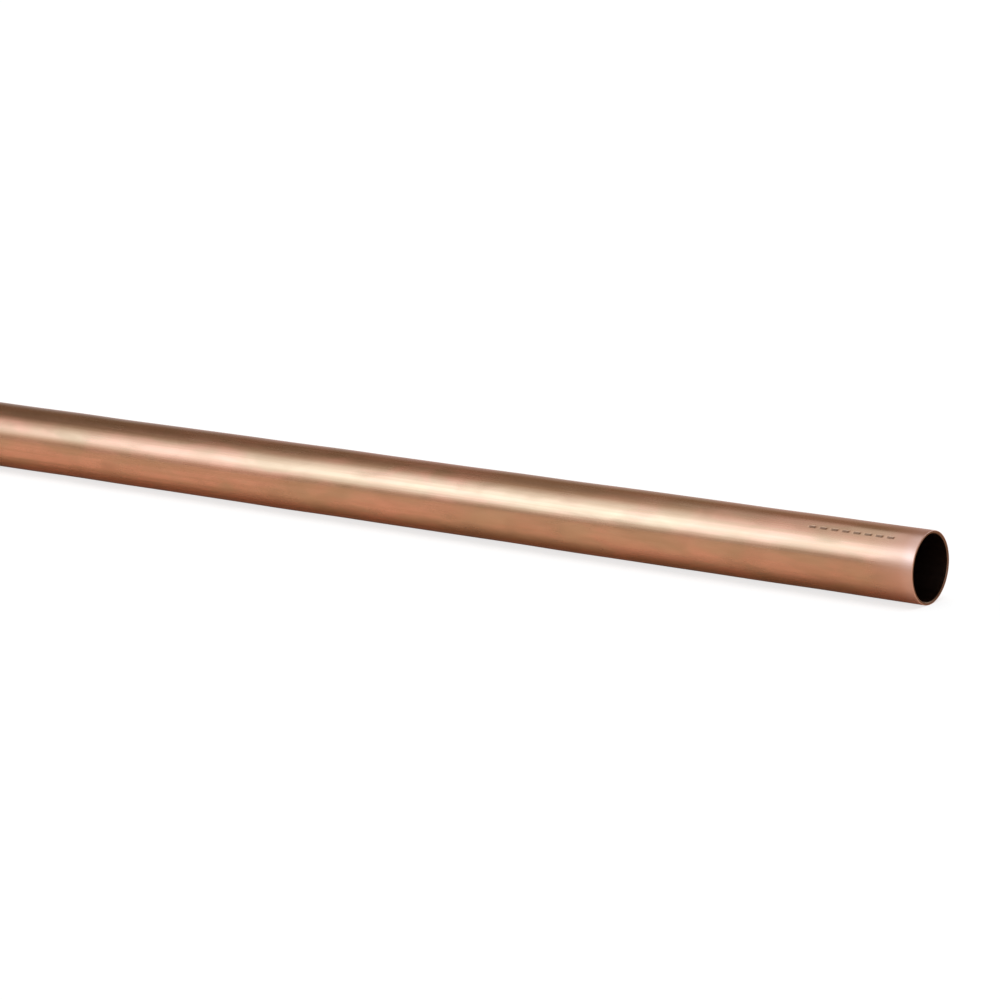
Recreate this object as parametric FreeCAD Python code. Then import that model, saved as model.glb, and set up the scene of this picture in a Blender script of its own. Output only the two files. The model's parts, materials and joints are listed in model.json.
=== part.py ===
"""A straight length of hard-drawn copper pipe, one solid, in millimetres.

The pipe lies on its side along X. The origin is on the surface that it rests on, under the middle of its length,
so the pipe's own axis runs one outside radius above the XY plane. Both ends are cut square and deburred: the
outside edge is rounded over and the bore's edge is reamed to a small chamfer.
"""

import FreeCAD
import Part
import math
import os

# Driving dimensions of the pipe
OUTSIDE_DIAMETER = 22.0
WALL_THICKNESS = 0.9
PIPE_LENGTH = 1000.0

# Deburring of the cut ends
OUTSIDE_EDGE_RADIUS = 0.2
BORE_EDGE_CHAMFER = 0.25

NODE = "copper_pipe"
PARTS_FOLDER = "parts"
FULL_TURN = 360.0

outside_radius = OUTSIDE_DIAMETER / 2
bore_radius = outside_radius - WALL_THICKNESS
half_length = PIPE_LENGTH / 2
axis_height = outside_radius

# Each deburred edge takes at most a third of the wall, so a flat ring of cut metal always stays between the two
edge_limit = WALL_THICKNESS / 3
edge_radius = min(OUTSIDE_EDGE_RADIUS, edge_limit)
edge_chamfer = min(BORE_EDGE_CHAMFER, edge_limit)


def section_point(along, radius):
    """A point of the wall's section: a place along the pipe, and a distance straight up from its axis."""
    return FreeCAD.Vector(along, 0, axis_height + radius)


def line(start, end):
    return Part.LineSegment(start, end).toShape()


def deburred_end(side):
    """The section's edges round one cut end, from the outside wall to the bore. side is +1 or -1 along X."""
    face = side * half_length
    halfway_round = math.radians(45)
    outside_start = section_point(face - side * edge_radius, outside_radius)
    round_middle = section_point(
        face - side * edge_radius * (1 - math.sin(halfway_round)),
        outside_radius - edge_radius * (1 - math.cos(halfway_round)),
    )
    round_end = section_point(face, outside_radius - edge_radius)
    chamfer_start = section_point(face, bore_radius + edge_chamfer)
    bore_start = section_point(face - side * edge_chamfer, bore_radius)
    edges = [
        Part.Arc(outside_start, round_middle, round_end).toShape(),
        line(round_end, chamfer_start),
        line(chamfer_start, bore_start),
    ]
    return outside_start, edges, bore_start


def wall_section():
    """The section through one side of the wall, a closed face in the XZ plane above the pipe's axis."""
    right_outside, right_edges, right_bore = deburred_end(+1)
    left_outside, left_edges, left_bore = deburred_end(-1)
    outside_wall = line(left_outside, right_outside)
    bore_wall = line(right_bore, left_bore)
    return Part.Face(Part.Wire([outside_wall, *right_edges, bore_wall, *reversed(left_edges)]))


def copper_pipe():
    """The wall's section turned once round the pipe's axis."""
    axis_point = FreeCAD.Vector(0, 0, axis_height)
    axis_direction = FreeCAD.Vector(1, 0, 0)
    return wall_section().revolve(axis_point, axis_direction, FULL_TURN)


def main():
    os.makedirs(PARTS_FOLDER, exist_ok=True)
    pipe = copper_pipe()
    pipe.exportStep(os.path.join(PARTS_FOLDER, NODE + ".step"))
    box = pipe.optimalBoundingBox(False)
    print(NODE, pipe.ShapeType, "valid", pipe.isValid(), "volume", round(pipe.Volume, 2), "mm3")
    print("box", [round(v, 3) for v in (box.XMin, box.XMax, box.YMin, box.YMax, box.ZMin, box.ZMax)])


main()
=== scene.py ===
"""A length of hard-drawn copper pipe, lying on a pale studio floor, in metres.

The pipe is one turned surface: the wall's section, carried once round the axis, with its rounded
outside edges, its cut rings, its reamed bore edges and the bore. The drawn wall, the cut rings and
the bore each have a finish of their own. Over the pipe stands a light tent, as a photographer sets
it for bright metal: it shows only in reflections.
"""

import bpy
import json
import math
import numpy as np
from mathutils import Matrix, Vector


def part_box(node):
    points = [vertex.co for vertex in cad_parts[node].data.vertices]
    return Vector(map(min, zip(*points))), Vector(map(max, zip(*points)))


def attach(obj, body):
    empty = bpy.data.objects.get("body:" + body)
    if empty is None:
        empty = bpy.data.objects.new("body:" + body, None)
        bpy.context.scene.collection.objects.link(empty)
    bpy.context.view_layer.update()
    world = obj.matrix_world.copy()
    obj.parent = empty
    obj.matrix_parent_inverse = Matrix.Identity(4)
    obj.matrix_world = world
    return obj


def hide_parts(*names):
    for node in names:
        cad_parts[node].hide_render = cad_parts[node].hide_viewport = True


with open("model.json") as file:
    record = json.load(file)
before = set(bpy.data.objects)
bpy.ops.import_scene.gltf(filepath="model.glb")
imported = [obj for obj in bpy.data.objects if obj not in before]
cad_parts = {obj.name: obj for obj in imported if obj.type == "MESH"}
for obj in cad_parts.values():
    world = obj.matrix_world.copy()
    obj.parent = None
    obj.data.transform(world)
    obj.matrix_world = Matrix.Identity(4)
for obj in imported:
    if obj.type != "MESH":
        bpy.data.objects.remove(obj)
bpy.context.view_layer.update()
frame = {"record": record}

MILLIMETRE = 0.001
FULL_TURN = 2 * math.pi

# Sizes of the pipe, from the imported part
NODE = "copper_pipe"
BODY = "root"
mounts = {mount["name"]: mount["dims"] for mount in frame["record"]["mounts"]}
low_corner, high_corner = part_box(NODE)
pipe_length = high_corner.x - low_corner.x
half_length = pipe_length / 2
outside_radius = mounts["right_end_outside"]["r_mm"] * MILLIMETRE
bore_radius = mounts["right_end_bore"]["r_mm"] * MILLIMETRE
edge_radius = (pipe_length - mounts["right_end_outside"]["length_mm"] * MILLIMETRE) / 2
edge_chamfer = (pipe_length - mounts["right_end_bore"]["length_mm"] * MILLIMETRE) / 2
axis_height = outside_radius

# The rows of plain dashes pressed into the wall beside each end. The angle of a row, round the pipe, is
# counted from straight down towards the front
DASH_COUNT = 8
DASH_PITCH = 3.75 * MILLIMETRE
DASH_LENGTH = 2.5 * MILLIMETRE
DASH_WIDTH = 1.1 * MILLIMETRE
DASH_EDGE = 0.25 * MILLIMETRE
DASH_DEPTH = 0.08 * MILLIMETRE
DASH_ANGLE = math.radians(144)
DASHES_FROM_END = 38 * MILLIMETRE
dashes_start = half_length - DASHES_FROM_END
dashes_end = dashes_start + DASH_COUNT * DASH_PITCH

# The press also flattens the wall a little round the dashes
PRESS_DEPTH = 0.05 * MILLIMETRE
PRESS_WIDTH = 6 * MILLIMETRE
PRESS_FADE = 6 * MILLIMETRE

# The faint waves that straightening rolls leave in the wall: depth, length along the pipe, turns round
# it, and start. A high power of the distance from the middle fades them out at the ends
ROLL_WAVES = (
    (0.030 * MILLIMETRE, 61 * MILLIMETRE, 1, 0.0),
    (0.018 * MILLIMETRE, 37 * MILLIMETRE, -1, 1.3),
    (0.035 * MILLIMETRE, 143 * MILLIMETRE, 2, 2.1),
)
WAVE_FADE_POWER = 30

# Fineness of the turned surface: points round it, which crowd towards the dashes, and rows of faces on
# each half
POINTS_AROUND = 160
CROWDING = 0.8
PLAIN_ROWS = 110
DASH_STEPS = 12
END_ROWS = 6
ROUND_ROWS = 8
RING_ROWS = 5
CHAMFER_ROWS = 4
BORE_ROWS = 24
OUTSIDE_ROWS = PLAIN_ROWS + DASH_COUNT * DASH_STEPS + END_ROWS
SHARP_EDGE = math.radians(30)

# Order of the finishes on the pipe
DRAWN_WALL, CUT_RING, BORE_WALL = range(3)

# Where the unrolled surface lies on its map: the height of each strip, the room between them, and how
# many times longer the narrow edges of the cut are drawn there than they are
WALL_STRIP = 0.34
BORE_STRIP = 0.14
STRIP_ROOM = 0.01
EDGE_STRETCH = 8.0

# Tones of the metal
GOLDEN_COPPER = (0.471, 0.244, 0.130, 1.0)
PINK_COPPER = (0.575, 0.245, 0.140, 1.0)
DULL_COPPER = (0.330, 0.158, 0.080, 1.0)
STREAKED_COPPER = (0.400, 0.190, 0.095, 1.0)
CLEAN_COPPER = (0.540, 0.246, 0.154, 1.0)
RUBBED_COPPER = (0.540, 0.271, 0.180, 1.0)
DASH_DIRT = (0.150, 0.070, 0.040, 1.0)
# The cut ring's tones are much darker than fresh cut copper, so that the ring is dark beside the bore
CUT_COPPER_DARK = (0.115, 0.053, 0.032, 1.0)
CUT_COPPER_PALE = (0.195, 0.093, 0.054, 1.0)
# The bore's tones: oxide, darkened further as painted shade inside the pipe, so that the bore looks black
BORE_OXIDE_AND_SHADE_DARK = (0.050, 0.024, 0.016, 1.0)
BORE_OXIDE_AND_SHADE_PALE = (0.100, 0.048, 0.030, 1.0)

# The film of tarnish keeps the metal's colour in reflections at a low angle
GRAZING_TINT = (0.85, 0.60, 0.50, 1.0)

# Clouds of noise in the finishes: length along the pipe, width across it, detail, roughness and twist
BROAD_TARNISH = (70 * MILLIMETRE, 18 * MILLIMETRE, 3.0, 0.5, 0.5)
PATCHY_TARNISH = (24 * MILLIMETRE, 9 * MILLIMETRE, 3.0, 0.5, 0.8)
MOTTLE = (15 * MILLIMETRE, 5 * MILLIMETRE, 2.0, 0.5, 0.6)
SMUDGES = (20 * MILLIMETRE, 7 * MILLIMETRE, 2.5, 0.5, 0.3)
DRAW_STREAKS = (220 * MILLIMETRE, 1.3 * MILLIMETRE, 3.0, 0.6, 0.0)
DRAW_LINES = (110 * MILLIMETRE, 0.4 * MILLIMETRE, 2.0, 0.6, 0.0)
RAGGED_EDGES = (9 * MILLIMETRE, 6 * MILLIMETRE, 2.0, 0.5, 0.0)
CUT_PATCHES = (3 * MILLIMETRE, 3 * MILLIMETRE, 2.0, 0.5, 0.0)
BORE_STREAKS = (160 * MILLIMETRE, 2 * MILLIMETRE, 3.0, 0.6, 0.0)
BORE_PATCHES = (40 * MILLIMETRE, 16 * MILLIMETRE, 3.0, 0.5, 0.6)
NOISE_MIDDLE = 0.5

# The drawn wall: where in its noise each cloud begins to show and where it is full, and how strong it is
BROAD_SHARE = 0.45
PATCHY_SHARE = 0.55
TARNISH_SHOWS = (0.40, 0.60)
MOTTLE_SHOWS = (0.34, 0.66)
MOTTLE_SHARE = 0.26
SMUDGES_SHOW = (0.52, 0.76)
SMUDGE_SHARE = 0.40
STREAKS_SHOW = (0.44, 0.70)
STREAK_SHARE = 0.50
DIRT_SHARE = 0.7

# The wall beside an end is dulled by handling, then cleaner, then rubbed at the rim: how far from the end
# each begins and is full, how strong it is, and how far the edges of the cleaner metal wander
HANDLED_FROM_END = (90 * MILLIMETRE, 20 * MILLIMETRE)
HANDLED_SHARE = 0.22
CLEAN_FROM_END = (18 * MILLIMETRE, 0.0)
CLEAN_SHARE = 0.75
RUBBED_FROM_END = (5 * MILLIMETRE, 1 * MILLIMETRE)
RUBBED_SHARE = 0.85
EDGE_WANDER = 3 * MILLIMETRE
RIM_WANDER_SHARE = 0.3

# Roughness of the drawn wall, what the things on it add to that, and the height of its relief
WALL_ROUGHNESS = 0.23
TARNISH_ROUGHNESS = 0.03
SMUDGE_ROUGHNESS = 0.07
LINE_ROUGHNESS = 0.12
CLEAN_ROUGHNESS = 0.08
STREAK_HEIGHT = 0.014 * MILLIMETRE
LINE_HEIGHT = 0.008 * MILLIMETRE

# The cut ring: the step between the cutting wheel's rings, how far they wander, in radians of that step,
# their height, and the roughness
RING_STEP = 0.12 * MILLIMETRE
RING_WANDER = 4.0
RING_HEIGHT = 0.003 * MILLIMETRE
RING_ROUGHNESS = 0.30
RING_PATCH_ROUGHNESS = 0.12

# Roughness and relief of the bore
BORE_ROUGHNESS = 0.30
BORE_STREAK_ROUGHNESS = 0.2
BORE_STREAK_HEIGHT = 0.010 * MILLIMETRE

# Places of the sockets on a Mix node that mixes colours
MIX_FACTOR, MIX_FIRST, MIX_SECOND = 0, 6, 7
MIX_RESULT = 2

# The photograph's view: its angles, its focal length in pixels, and where the open end's middle lies
PICTURE_SIZE = 1000
FOCAL_PIXELS = 3562
SENSOR_WIDTH = 36.0
CAMERA_AZIMUTH = math.radians(35.93)
CAMERA_ELEVATION = math.radians(11.36)
CAMERA_DEPTH = 1.030
OPEN_END_PIXEL = (930.8, 567.9)

# Light: a strength of 1 is white. Half of the plain light comes from all round and half from a soft lamp
# overhead
WHITE = 1.0
WHITE_COLOUR = (1.0, 1.0, 1.0, 1.0)
SHOWING_RAYS = ("Is Camera Ray", "Is Glossy Ray", "Is Transmission Ray")
AMBIENT = 0.5
LAMP_LEVEL = 0.5
LAMP_ANGLE = math.radians(45)
LAMP_FROM = Vector((0.12, -0.05, 0.99)).normalized()
FLOOR_SIZE = 24.0
FLOOR_COLOUR = (0.9, 0.9, 0.9, 1.0)
FLOOR_COLOUR_SEEN = (0.3, 0.3, 0.3, 1.0)
FLOOR_GLOW = 0.1
FLOOR_GLOW_SEEN = 0.74

# The light tent: a half round over the pipe. Angles on it are counted from the horizon in front, up and
# over, and places along it from the pipe's middle. A pair gives where a thing begins and where it is full
TENT_RADIUS = 1.0
TENT_HALF_LENGTH = 2.6
TENT_ROWS = 49

# The tent's cloth: its level, at its foot too, and the dark overhead, which leans forward far away
TENT_CLOTH = 0.9
TENT_FOOT = 0.55
FOOT_RISES = (0.0, math.radians(14))
TENT_DARK_FAR = 0.26
TENT_DARK_NEAR = 0.50
DARK_ALONG = (-0.95, 0.30)
DARK_FROM = (math.radians(72), math.radians(118))
DARK_UNTIL = (math.radians(178), math.radians(164))
DARK_FAR_LEAN = math.radians(46)

# The broad light in front: what is left of it far away, over the shown end and past it, and how far it
# leans forward there
LIGHT_PEAK = 5.8
LIGHT_COLOUR = (0.320, 0.634, 1.0)
LIGHT_RISES = (math.radians(3), math.radians(36))
LIGHT_FALLS = (math.radians(99), math.radians(42))
LIGHT_ALONG = (-0.95, -0.26)
LIGHT_FAR = 0.45
LIGHT_FAR_LEAN = math.radians(28)
END_ALONG = (-0.26, -0.04)
END_LEAN = math.radians(12)
END_LOSS = 0.12
PAST_ALONG = (0.0, 0.6)
PAST_LEAN = math.radians(18)
PAST_LOSS = 0.3

# The pale patch high over the shown end
PALE_ALONG = (-0.18, -0.03)
PALE_RISES = (math.radians(58), math.radians(92))
PALE_FALLS = (math.radians(124), math.radians(106))
PALE_LIGHT = 2.0

# The narrow light behind, plain along the pipe, and strong past the shown end and far away
BACK_LIGHT_PLAIN = 0.85
BACK_LIGHT_STRONG = 3.6
AWAY_ALONG = (-0.85, -1.2)
BACK_RISES = (math.radians(177), math.radians(166))
BACK_FALLS = (math.radians(140), math.radians(156))


class Wire:
    """One output socket of a node tree. Arithmetic with numbers or other wires adds Math nodes there."""

    def __init__(self, tree, socket):
        self.tree = tree
        self.socket = socket

    @classmethod
    def node(cls, tree, kind, settings, sockets, output=0):
        """Adds a node of a kind, makes its settings, fills its sockets with values or wires, and gives
        one of its outputs."""
        made = tree.nodes.new(kind)
        for name, value in settings.items():
            setattr(made, name, value)
        for key, value in sockets.items():
            if isinstance(value, Wire):
                tree.links.new(value.socket, made.inputs[key])
            else:
                made.inputs[key].default_value = value
        return cls(tree, made.outputs[output]) if made.outputs else None

    def math(self, operation, *values):
        """A Math node on this wire and the values that follow it."""
        sockets = dict(enumerate((self, *values)))
        return Wire.node(self.tree, "ShaderNodeMath", {"operation": operation}, sockets)

    def __add__(self, other):
        return self.math("ADD", other)

    __radd__ = __add__

    def __mul__(self, other):
        return self.math("MULTIPLY", other)

    __rmul__ = __mul__

    def __neg__(self):
        return self * -1.0

    def __sub__(self, other):
        return self.math("SUBTRACT", other)

    def __rsub__(self, other):
        return Wire.node(self.tree, "ShaderNodeMath", {"operation": "SUBTRACT"}, {0: other, 1: self})


def ramp(value, start, end):
    """A smooth step: 0 where the value is at start, 1 where it is at end, and an S curve between. start
    may be the higher of the two."""
    return Wire.node(
        value.tree,
        "ShaderNodeMapRange",
        {"interpolation_type": "SMOOTHSTEP"},
        {"Value": value, "From Min": start, "From Max": end},
    )


def mix(factor, first, second):
    """A colour between two: first where the factor is 0, second where it is 1."""
    sockets = {MIX_FACTOR: factor, MIX_FIRST: first, MIX_SECOND: second}
    return Wire.node(factor.tree, "ShaderNodeMix", {"data_type": "RGBA"}, sockets, MIX_RESULT)


def object_place(tree):
    """Where a point lies in the part's own frame, in metres."""
    return Wire.node(tree, "ShaderNodeTexCoord", {}, {}, "Object")


def axis_part(place, axis):
    """One part of a place: X along the pipe, Y across it or Z upwards."""
    return Wire.node(place.tree, "ShaderNodeSeparateXYZ", {}, {0: place}, axis)


def cloud(place, length, width, detail, roughness, twist):
    """Noise from 0 to 1 in patches of about that length along the pipe and that width across it."""
    sockets = {0: place, 1: (1 / length, 1 / width, 1 / width)}
    scaled = Wire.node(place.tree, "ShaderNodeVectorMath", {"operation": "MULTIPLY"}, sockets)
    return Wire.node(
        place.tree,
        "ShaderNodeTexNoise",
        {"noise_dimensions": "3D"},
        {"Vector": scaled, "Scale": 1.0, "Detail": detail, "Roughness": roughness, "Distortion": twist},
    )


def bump(height):
    """The normals of a surface raised by a height in metres."""
    sockets = {"Strength": 1.0, "Distance": 1.0, "Height": height}
    return Wire.node(height.tree, "ShaderNodeBump", {}, sockets)


def new_material(name):
    """A material with no nodes yet, and its node tree."""
    material = bpy.data.materials.new(name)
    material.use_nodes = True
    material.node_tree.nodes.clear()
    return material, material.node_tree


def bare_metal(tree, colour, roughness, normal):
    """Closes a material as metal with no paint or lacquer on it."""
    surface = Wire.node(
        tree,
        "ShaderNodeBsdfPrincipled",
        {},
        {
            "Base Color": colour,
            "Metallic": 1.0,
            "Roughness": roughness,
            "Specular Tint": GRAZING_TINT,
            "Normal": normal,
        },
    )
    Wire.node(tree, "ShaderNodeOutputMaterial", {}, {"Surface": surface})


def dash_row(place, along):
    """1 on the dashes pressed into the wall and 0 elsewhere, by the distance from the middle of the
    nearest dash, along the pipe and across it."""
    front = -axis_part(place, "Y")
    down = axis_height - axis_part(place, "Z")
    across = (front.math("ARCTAN2", down) - DASH_ANGLE).math("ABSOLUTE") * outside_radius
    outwards = along.math("ABSOLUTE")
    step = ((outwards - dashes_start) * (1 / DASH_PITCH)).math("FRACT")
    lengthwise = (step - 1 / 2).math("ABSOLUTE") * DASH_PITCH
    row = outwards.math("GREATER_THAN", dashes_start) * outwards.math("LESS_THAN", dashes_end)
    dash = ramp(lengthwise, DASH_LENGTH / 2, DASH_LENGTH / 2 - DASH_EDGE)
    return row * dash * ramp(across, DASH_WIDTH / 2, DASH_WIDTH / 2 - DASH_EDGE)


def drawn_wall_finish():
    """Hard-drawn copper: pink and golden clouds of tarnish under a faint mottle, dull smudges, fine lines
    along the draw, cleaner metal at the ends with a rubbed rim, and dirt in the pressed dashes."""
    material, tree = new_material("drawn_copper")
    place = object_place(tree)
    along = axis_part(place, "X")
    from_end = half_length - along.math("ABSOLUTE")

    broad = cloud(place, *BROAD_TARNISH)
    patchy = cloud(place, *PATCHY_TARNISH)
    tarnish = ramp(broad * BROAD_SHARE + patchy * PATCHY_SHARE, *TARNISH_SHOWS)
    mottle = ramp(cloud(place, *MOTTLE), *MOTTLE_SHOWS)
    smudges = ramp(cloud(place, *SMUDGES), *SMUDGES_SHOW)
    handled = ramp(from_end, *HANDLED_FROM_END)
    streaks = cloud(place, *DRAW_STREAKS)
    lines = cloud(place, *DRAW_LINES)
    wander = (cloud(place, *RAGGED_EDGES) - NOISE_MIDDLE) * EDGE_WANDER
    clean_end = ramp(from_end + wander, *CLEAN_FROM_END)
    rubbed = ramp(from_end + wander * RIM_WANDER_SHARE, *RUBBED_FROM_END)
    dashes = dash_row(place, along)

    tone = mix(tarnish, GOLDEN_COPPER, PINK_COPPER)
    tone = mix(mottle * MOTTLE_SHARE, tone, DULL_COPPER)
    tone = mix(smudges * SMUDGE_SHARE + handled * HANDLED_SHARE, tone, DULL_COPPER)
    tone = mix(ramp(streaks, *STREAKS_SHOW) * STREAK_SHARE, tone, STREAKED_COPPER)
    tone = mix(clean_end * CLEAN_SHARE, tone, CLEAN_COPPER)
    tone = mix(rubbed * RUBBED_SHARE, tone, RUBBED_COPPER)
    tone = mix(dashes * DIRT_SHARE, tone, DASH_DIRT)

    roughness = WALL_ROUGHNESS + tarnish * TARNISH_ROUGHNESS + smudges * SMUDGE_ROUGHNESS
    roughness = roughness + (lines - NOISE_MIDDLE) * LINE_ROUGHNESS + clean_end * CLEAN_ROUGHNESS
    height = streaks * STREAK_HEIGHT + lines * LINE_HEIGHT
    bare_metal(tree, tone, roughness, bump(height))
    return material


def cut_ring_finish():
    """Cut copper, in tones much darker than fresh cut copper, with the fine rings that the cutting wheel
    leaves.
    """
    material, tree = new_material("cut_copper")
    place = object_place(tree)
    across = axis_part(place, "Y")
    upwards = axis_part(place, "Z") - axis_height
    radius = (across * across + upwards * upwards).math("SQRT")
    patches = cloud(place, *CUT_PATCHES)
    rings = (radius * (FULL_TURN / RING_STEP) + patches * RING_WANDER).math("SINE")
    tone = mix(patches, CUT_COPPER_DARK, CUT_COPPER_PALE)
    roughness = RING_ROUGHNESS + patches * RING_PATCH_ROUGHNESS
    bare_metal(tree, tone, roughness, bump(rings * RING_HEIGHT))
    return material


def bore_finish():
    """The bore: dark brown oxide, made darker still as painted shade inside the pipe, with streaks along
    the draw.
    """
    material, tree = new_material("oxidised_and_shaded_bore")
    place = object_place(tree)
    streaks = cloud(place, *BORE_STREAKS)
    tone = mix(cloud(place, *BORE_PATCHES), BORE_OXIDE_AND_SHADE_DARK, BORE_OXIDE_AND_SHADE_PALE)
    roughness = BORE_ROUGHNESS + streaks * BORE_STREAK_ROUGHNESS
    bare_metal(tree, tone, roughness, bump(streaks * BORE_STREAK_HEIGHT))
    return material


def half_section():
    """Half of the wall's section, from the middle of the outside wall round the end to the middle of the
    bore, as (along, radius) arrays.

    The outside edge is a quarter circle, the cut ring runs straight in towards the axis, the bore's edge
    is a straight chamfer, and both walls are straight.
    """
    turn = np.linspace(0, math.pi / 2, ROUND_ROWS + 1)
    round_along = half_length - edge_radius * (1 - np.sin(turn))
    round_radius = outside_radius - edge_radius * (1 - np.cos(turn))
    share = np.linspace(0, 1, CHAMFER_ROWS + 1)[:-1]
    along = [
        np.linspace(0, dashes_start, PLAIN_ROWS + 1)[:-1],
        np.linspace(dashes_start, dashes_end, DASH_COUNT * DASH_STEPS + 1)[:-1],
        np.linspace(dashes_end, half_length - edge_radius, END_ROWS + 1)[:-1],
        round_along[:-1],
        np.full(RING_ROWS, half_length),
        half_length - edge_chamfer * share,
        np.linspace(half_length - edge_chamfer, 0, BORE_ROWS + 1),
    ]
    radius = [
        np.full(OUTSIDE_ROWS, outside_radius),
        round_radius[:-1],
        np.linspace(outside_radius - edge_radius, bore_radius + edge_chamfer, RING_ROWS + 1)[:-1],
        bore_radius + edge_chamfer * (1 - share),
        np.full(BORE_ROWS + 1, bore_radius),
    ]
    return np.concatenate(along), np.concatenate(radius)


def whole_section():
    """The closed section of the wall: the right half, then the same half mirrored and taken backwards."""
    along, radius = half_section()
    return np.concatenate([along, -along[-2:0:-1]]), np.concatenate([radius, radius[-2:0:-1]])


def turn_angles():
    """The angles of the points round the pipe, once round and back to the first: the dashes' angle
    + s - crowding sin(s), for s in even steps from half a turn before the dashes to half a turn past
    them."""
    even = np.linspace(-math.pi, math.pi, POINTS_AROUND + 1)
    return DASH_ANGLE + even - CROWDING * np.sin(even)


def smooth_step(value, start, end):
    """0 where the value is at start, 1 where it is at end, and share^2 (3 - 2 share) between."""
    share = np.clip((value - start) / (end - start), 0, 1)
    return share**2 * (3 - 2 * share)


def pressed_depth(x, turn):
    """How far the wall is pressed in: the dashes' depth by the distance from the middle of the nearest
    dash, along the pipe and across it, and the shallow flat round them, which fades out on all sides."""
    outwards = np.abs(x)
    across = np.abs(turn - DASH_ANGLE) * outside_radius
    lengthwise = np.abs((outwards - dashes_start) / DASH_PITCH % 1 - 1 / 2) * DASH_PITCH
    in_row = (outwards > dashes_start) & (outwards < dashes_end)
    dash = smooth_step(lengthwise, DASH_LENGTH / 2, DASH_LENGTH / 2 - DASH_EDGE)
    dash = dash * smooth_step(across, DASH_WIDTH / 2, DASH_WIDTH / 2 - DASH_EDGE)
    past_row = np.maximum(dashes_start - outwards, outwards - dashes_end)
    flat = smooth_step(past_row, PRESS_FADE, 0) * smooth_step(across, PRESS_WIDTH / 2, 0)
    return DASH_DEPTH * dash * in_row + PRESS_DEPTH * flat


def turned_pipe():
    """The pipe's surface as a grid of points: each point of the section, turned round the axis.

    A point at an angle, counted from straight down towards the front, lies at y = -r sin(angle) and
    z = axis height - r cos(angle). On the outside wall r also carries the rolls' waves, each a depth
    times sin(2 pi along / length + turns angle + start), which fade out at the ends, less the pressed
    depth.
    """
    along, radius = whole_section()
    x, turn = np.meshgrid(along, turn_angles()[:-1], indexing="ij")
    r = np.repeat(radius[:, None], POINTS_AROUND, axis=1)
    waves = sum(
        depth * np.sin(FULL_TURN * x / length + turns * turn + start)
        for depth, length, turns, start in ROLL_WAVES
    )
    fade = 1 - np.abs(x / half_length) ** WAVE_FADE_POWER
    r = r + (waves * fade - pressed_depth(x, turn)) * (r >= outside_radius)
    return np.stack([x, -r * np.sin(turn), axis_height - r * np.cos(turn)], axis=-1)


def row_finishes():
    """The finish of each row of faces, counted along the half section and back again."""
    row_counts = [OUTSIDE_ROWS + ROUND_ROWS, RING_ROWS + CHAMFER_ROWS, BORE_ROWS]
    half = np.repeat([DRAWN_WALL, CUT_RING, BORE_WALL], row_counts)
    return np.concatenate([half, half[::-1]])


def unrolled_map():
    """The map that the finish is kept on: four strips, one above the other, for the wall and the bore of
    each half.

    A strip runs along the section on u and once round the pipe on v. The distance along the section is
    the sum of the steps between its points, with the narrow edges of the cut stretched.
    """
    along, radius = half_section()
    steps = np.hypot(np.diff(along), np.diff(radius))
    wall_rows = len(steps) - BORE_ROWS
    steps[OUTSIDE_ROWS:wall_rows] *= EDGE_STRETCH
    distance = np.concatenate([[0.0], np.cumsum(steps)])
    wall_reach = distance[wall_rows]
    row = np.arange(2 * len(steps))
    near, far = (np.minimum(at, 2 * len(steps) - at) for at in (row, row + 1))
    in_bore = np.maximum(near, far) > wall_rows
    reach = np.where(in_bore, distance[-1] - wall_reach, wall_reach)
    corners = (near, far, far, near)
    u = np.stack([(distance[at] - in_bore * wall_reach) / reach for at in corners], axis=-1)
    height = np.where(in_bore, BORE_STRIP, WALL_STRIP)
    left_side = row >= len(steps)
    bottom = in_bore * 2 * (WALL_STRIP + STRIP_ROOM) + left_side * (height + STRIP_ROOM)
    angle = turn_angles()
    share = (angle - angle[0]) / FULL_TURN
    share_corners = np.stack([share[:-1], share[:-1], share[1:], share[1:]], axis=-1)
    v = bottom[:, None, None] + height[:, None, None] * share_corners
    return np.stack([np.broadcast_to(u[:, None, :], v.shape), v], axis=-1)


def grid_faces(rows, columns, closed):
    """Four-cornered faces between neighbouring points of a grid, wrapped round both ways where closed."""
    first_rows = np.arange(rows if closed else rows - 1)
    first_columns = np.arange(columns if closed else columns - 1)
    row, column = np.meshgrid(first_rows, first_columns, indexing="ij")
    next_row = (row + 1) % rows
    next_column = (column + 1) % columns
    corners = [row * columns + column, next_row * columns + column]
    corners += [next_row * columns + next_column, row * columns + next_column]
    return np.stack(corners, axis=-1).reshape(-1, 4)


def new_object(name, points, faces, materials):
    """A mesh object at the origin, with its place in its points."""
    mesh = bpy.data.meshes.new(name)
    mesh.from_pydata(points.reshape(-1, 3), [], faces.tolist())
    for material in materials:
        mesh.materials.append(material)
    made = bpy.data.objects.new(name, mesh)
    bpy.context.scene.collection.objects.link(made)
    return made


def add_pipe():
    """The pipe: one closed surface with three finishes, which stands for the solid pipe."""
    points = turned_pipe()
    faces = grid_faces(*points.shape[:2], closed=True)
    finishes = [drawn_wall_finish(), cut_ring_finish(), bore_finish()]
    pipe = new_object("drawn_pipe", points, faces, finishes)
    face_finishes = np.repeat(row_finishes(), POINTS_AROUND).astype(np.int32)
    pipe.data.polygons.foreach_set("material_index", face_finishes)
    pipe.data.uv_layers.new(name="OFBake").uv.foreach_set("vector", unrolled_map().ravel())
    pipe.data.shade_smooth()
    pipe.data.set_sharp_from_angle(angle=SHARP_EDGE)
    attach(pipe, BODY)
    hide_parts(NODE)


def ray_kind(tree, kind):
    """1 for the rays of that kind, 0 for the others."""
    return Wire.node(tree, "ShaderNodeLightPath", {}, {}, kind)


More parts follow.
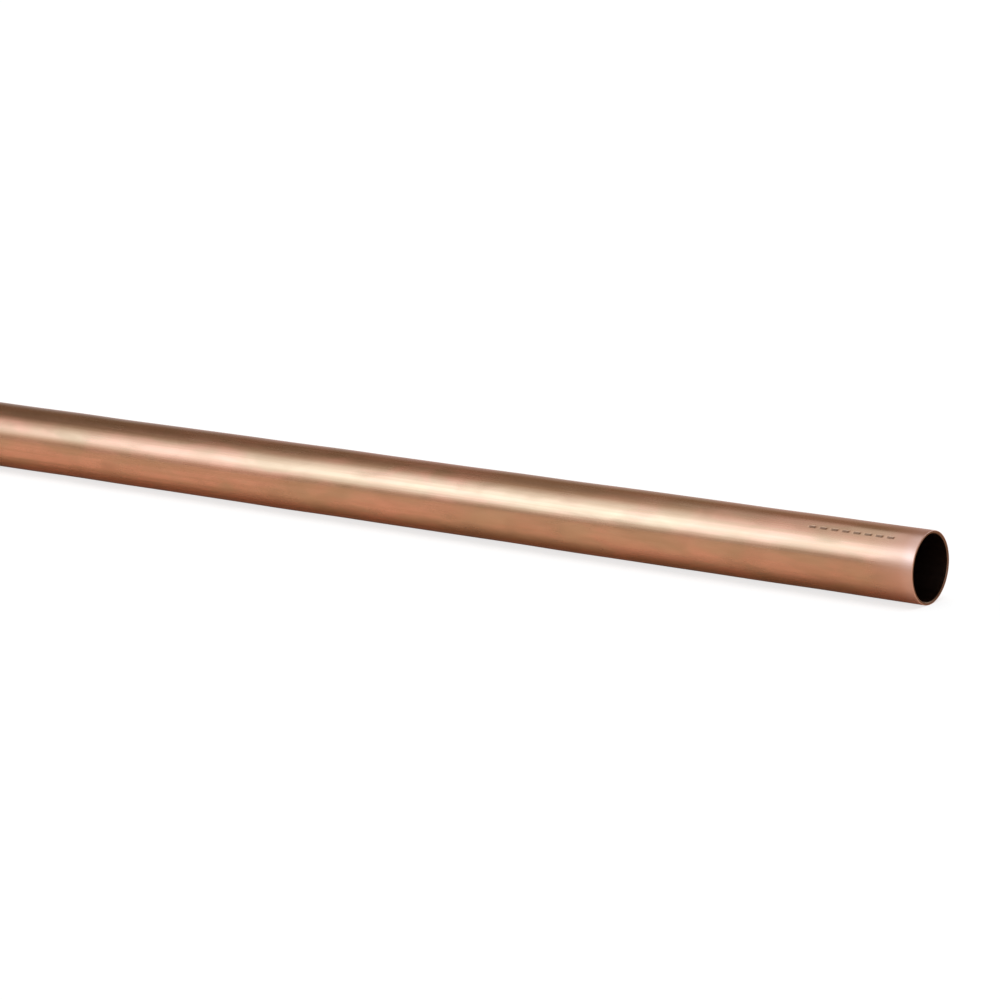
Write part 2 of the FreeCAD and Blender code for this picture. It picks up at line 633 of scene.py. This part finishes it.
def add_floor():
    """A flat square of pale floor, which takes shadows.

    Part of its white is its own glow, so that it is as white as the space above it. Where it is seen
    directly its paper is darker and its glow stronger, which makes the shadow lighter there than it is
    in reflections.
    """
    material, tree = new_material("pale_floor")
    seen, *reflected = (ray_kind(tree, kind) for kind in SHOWING_RAYS)
    colour = mix(seen, FLOOR_COLOUR, FLOOR_COLOUR_SEEN)
    paper = Wire.node(tree, "ShaderNodeBsdfDiffuse", {}, {"Color": colour})
    strength = seen * FLOOR_GLOW_SEEN + sum(reflected) * FLOOR_GLOW
    glow = Wire.node(tree, "ShaderNodeEmission", {}, {"Strength": strength})
    surface = Wire.node(tree, "ShaderNodeAddShader", {}, {0: paper, 1: glow})
    Wire.node(tree, "ShaderNodeOutputMaterial", {}, {"Surface": surface})
    sides = np.array([-FLOOR_SIZE / 2, FLOOR_SIZE / 2])
    x, y = np.meshgrid(sides, sides, indexing="ij")
    points = np.stack([x, y, np.zeros_like(x)], axis=-1)
    floor = new_object("floor", points, grid_faces(*x.shape, closed=False), [material])


def add_world():
    """White where it is seen, and a plain level of light where it only lights."""
    world = bpy.data.worlds.new("white_space")
    world.use_nodes = True
    tree = world.node_tree
    tree.nodes.clear()
    showing = sum(ray_kind(tree, kind) for kind in SHOWING_RAYS).math("MINIMUM", 1.0)
    strength = AMBIENT + showing * (WHITE - AMBIENT)
    light = Wire.node(tree, "ShaderNodeBackground", {}, {"Color": WHITE_COLOUR, "Strength": strength})
    Wire.node(tree, "ShaderNodeOutputWorld", {}, {"Surface": light})
    bpy.context.scene.world = world


def add_lamp():
    """A broad soft lamp that gives the pipe its shadow on the floor. With a strength of pi, straight
    overhead, it would light the floor as a white world does."""
    lamp = bpy.data.lights.new("soft_lamp", "SUN")
    lamp.energy = LAMP_LEVEL * math.pi / LAMP_FROM.z
    lamp.angle = LAMP_ANGLE
    made = bpy.data.objects.new("soft_lamp", lamp)
    made.rotation_euler = LAMP_FROM.to_track_quat("Z", "Y").to_euler()
    made.visible_glossy = False
    bpy.context.scene.collection.objects.link(made)


def tent_finish():
    """The tent's glow, by the angle above the front horizon and the place along the pipe.

    Its cloth is a little under white, duller at its foot in front, and dark overhead. Far away the dark
    is deeper and comes further down. A broad band of light shines through the cloth in front: far away it
    is weaker and narrower, but doesn't vanish, and over the shown end and past it it is a little weaker
    and lower. High over the shown end alone, the dark gives way to a pale patch. A narrow band of light
    behind is stronger past the shown end and far away. The lights are cool, so that they come back nearly
    white from the warm metal.
    """
    material, tree = new_material("light_tent")
    place = object_place(tree)
    along = axis_part(place, "X")
    above = axis_part(place, "Z") - axis_height
    angle = above.math("ARCTAN2", -axis_part(place, "Y"))
    lit = LIGHT_FAR + ramp(along, *LIGHT_ALONG) * (1 - LIGHT_FAR)
    far = 1 - lit
    over_end = ramp(along, *END_ALONG)
    past_end = ramp(along, *PAST_ALONG)
    away = ramp(along, *AWAY_ALONG)
    pale_along = ramp(along, *PALE_ALONG) * (1 - past_end)
    pale = pale_along * ramp(angle, *PALE_RISES) * ramp(angle, *PALE_FALLS)

    dark = TENT_DARK_FAR + ramp(along, *DARK_ALONG) * (TENT_DARK_NEAR - TENT_DARK_FAR)
    shade = ramp(angle + far * DARK_FAR_LEAN, *DARK_FROM) * ramp(angle, *DARK_UNTIL) * (1 - pale)
    foot = TENT_FOOT + ramp(angle, *FOOT_RISES) * (1 - TENT_FOOT)
    cloth = (TENT_CLOTH + shade * (dark - TENT_CLOTH)) * foot

    lean = far * LIGHT_FAR_LEAN + over_end * END_LEAN + past_end * PAST_LEAN
    falls = ramp(angle + lean, *LIGHT_FALLS)
    band = (ramp(angle, *LIGHT_RISES) * falls).math("POWER", 1 + far)
    front = band * lit * (1 - over_end * END_LOSS - past_end * PAST_LOSS) * LIGHT_PEAK
    behind = ramp(angle, *BACK_RISES) * ramp(angle, *BACK_FALLS)
    back_level = BACK_LIGHT_PLAIN + (past_end + away) * (BACK_LIGHT_STRONG - BACK_LIGHT_PLAIN)
    light = front + behind * back_level + pale * PALE_LIGHT
    colour = Wire.node(
        tree,
        "ShaderNodeVectorMath",
        {"operation": "MULTIPLY_ADD"},
        {0: LIGHT_COLOUR, 1: light, 2: cloth},
    )
    glow = Wire.node(tree, "ShaderNodeEmission", {}, {"Color": colour, "Strength": WHITE})
    Wire.node(tree, "ShaderNodeOutputMaterial", {}, {"Surface": glow})
    return material


def add_light_tent():
    """A half round over the pipe: y = -R cos(angle) and z = axis height + R sin(angle). It shows in
    bright metal, and neither blocks a view nor lights the floor."""
    ends = [-TENT_HALF_LENGTH, TENT_HALF_LENGTH]
    x, angle = np.meshgrid(ends, np.linspace(0, math.pi, TENT_ROWS), indexing="ij")
    y = -TENT_RADIUS * np.cos(angle)
    z = axis_height + TENT_RADIUS * np.sin(angle)
    points = np.stack([x, y, z], axis=-1)
    tent = new_object("light_tent", points, grid_faces(*x.shape, closed=False), [tent_finish()])
    tent.visible_camera = False
    tent.visible_diffuse = False
    tent.visible_transmission = False
    tent.visible_shadow = False


def add_camera():
    """The photograph's view. The camera stands off the open end by its depth, and aside so that the end's
    middle falls on its pixel: an offset in pixels over the focal length, times the depth."""
    right = Vector((math.cos(CAMERA_AZIMUTH), math.sin(CAMERA_AZIMUTH), 0))
    back = Vector(
        (
            math.sin(CAMERA_AZIMUTH) * math.cos(CAMERA_ELEVATION),
            -math.cos(CAMERA_AZIMUTH) * math.cos(CAMERA_ELEVATION),
            math.sin(CAMERA_ELEVATION),
        )
    )
    up = back.cross(right)
    aside = (OPEN_END_PIXEL[0] - PICTURE_SIZE / 2) / FOCAL_PIXELS * CAMERA_DEPTH
    above = (PICTURE_SIZE / 2 - OPEN_END_PIXEL[1]) / FOCAL_PIXELS * CAMERA_DEPTH
    open_end = Vector((half_length, 0, axis_height))
    lens = bpy.data.cameras.new("camera")
    lens.sensor_width = SENSOR_WIDTH
    lens.lens = FOCAL_PIXELS / PICTURE_SIZE * SENSOR_WIDTH
    camera = bpy.data.objects.new("camera", lens)
    bpy.context.scene.collection.objects.link(camera)
    place = open_end - right * aside - up * above + back * CAMERA_DEPTH
    turn = Matrix((right, up, back)).transposed().to_4x4()
    camera.matrix_world = Matrix.Translation(place) @ turn
    bpy.context.scene.camera = camera


add_pipe()
add_floor()
add_world()
add_lamp()
add_light_tent()
add_camera()
bpy.context.scene.view_settings.view_transform = "Standard"
